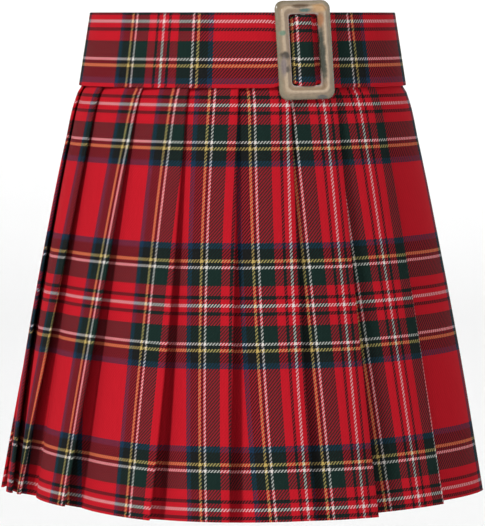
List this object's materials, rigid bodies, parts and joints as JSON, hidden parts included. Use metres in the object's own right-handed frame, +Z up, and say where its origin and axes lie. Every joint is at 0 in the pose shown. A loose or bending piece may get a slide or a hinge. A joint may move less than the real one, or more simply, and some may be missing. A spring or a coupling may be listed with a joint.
{
  "type": "knife-pleated tartan skirt with belt",
  "caption": "Short knife-pleated tartan skirt, open as if worn, with a wide belt of the same cloth through a rectangular horn-look slide buckle.",
  "frame": {"origin": "centre of the waist, level with the belt's upper edge", "axes": "+Z up along the body, -Y towards the front, +X to the right of the front view (the wearer's left)"},
  "size_m": [0.4033, 0.3391, 0.4129],
  "materials": {
    "tartan": "matt twill weave with a checked pattern",
    "waistband_cloth": "matt twill weave with a checked pattern",
    "horn_resin": "polished resin with a mottled horn look"
  },
  "bodies": {
    "root": {"skirt_front": "tartan", "skirt_back": "tartan", "waistband": "waistband_cloth", "belt": "tartan", "buckle": "horn_resin"}
  },
  "joints": []
}
